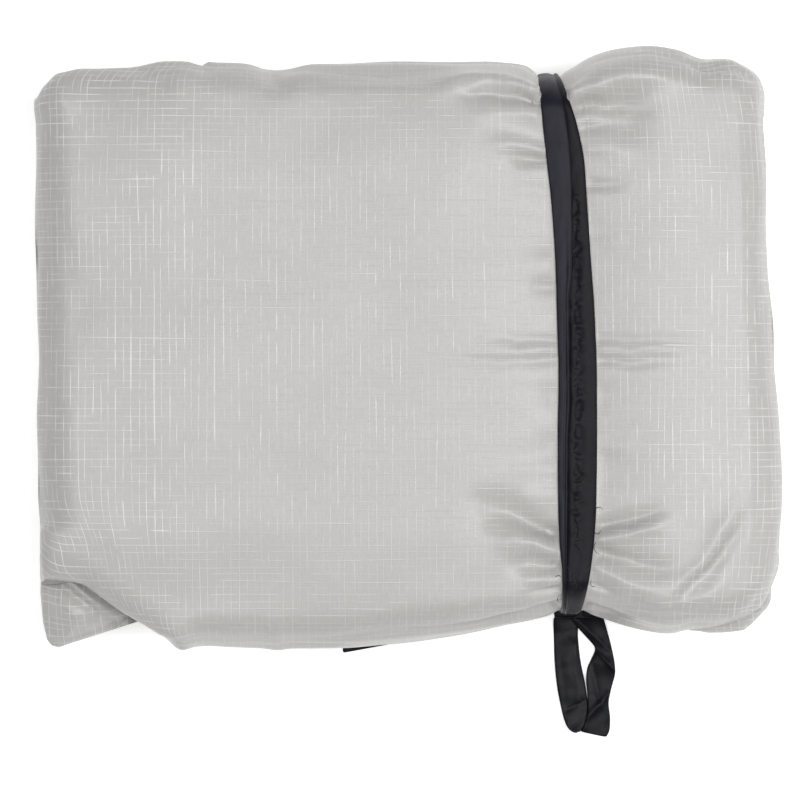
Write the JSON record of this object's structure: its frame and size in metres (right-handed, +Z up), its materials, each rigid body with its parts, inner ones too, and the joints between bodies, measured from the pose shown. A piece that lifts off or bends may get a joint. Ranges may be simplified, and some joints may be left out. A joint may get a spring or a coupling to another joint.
{
  "type": "inflatable sleeping pad",
  "caption": "Deflated insulated sleeping pad of pale ripstop, folded in half, rolled flat and tied round with a dark tape that ends in a loop; capped one-way air valve at the back.",
  "frame": {"origin": "on the pad's flat underside, under the middle of its length, where it rests on the ground", "axes": "+X along the packed pad towards its folded end, +Y towards the rolled side with the valve, +Z up out of the large top face; the tape loop lies on the -Y side"},
  "size_m": [0.304, 0.2756, 0.067],
  "materials": {
    "outer_fabric": "satin",
    "inner_fabric": "satin",
    "batt": "matte",
    "baffle_film": "satin",
    "tape": "satin",
    "thread": "matte",
    "soft_flange": "satin",
    "valve_plastic": "satin",
    "silicone": "satin",
    "pin_plastic": "satin"
  },
  "bodies": {
    "pad": {"back_skin": "outer_fabric", "face_skin": "inner_fabric", "insulation_batt": "batt", "baffle_strips": "baffle_film", "valve_flange": "soft_flange", "valve_collar": "valve_plastic", "tether_ring": "valve_plastic", "hinge_pin": "pin_plastic"},
    "band": {"band_left_strand": "tape", "band_right_strand": "tape", "band_stitching": "thread", "loop_neck": "tape", "bar_tack": "thread", "tape_tail": "tape"},
    "loop": {"tape_loop": "tape"},
    "cap": {"valve_cap": "valve_plastic", "cap_seal": "silicone"},
    "flap": {"valve_flap": "silicone"}
  },
  "joints": [
    {"name": "band_slide", "type": "slide", "parent": "pad", "child": "band", "axis": [1, 0, 0], "range_m": [0, 0.11]},
    {"name": "loop_swing", "type": "hinge", "parent": "band", "child": "loop", "pos_m": [0.0665, -0.1115, 0.0007], "axis": [-1, 0, 0], "range_deg": [0, 75]},
    {"name": "cap_hinge", "type": "hinge", "parent": "pad", "child": "cap", "pos_m": [-0.1363, 0.1082, 0.031], "axis": [0, 0, 1], "range_deg": [0, 150]},
    {"name": "flap_lift", "type": "slide", "parent": "pad", "child": "flap", "axis": [0, -1, 0], "range_m": [0, 0.0011], "stiffness_N_per_m": 20}
  ]
}
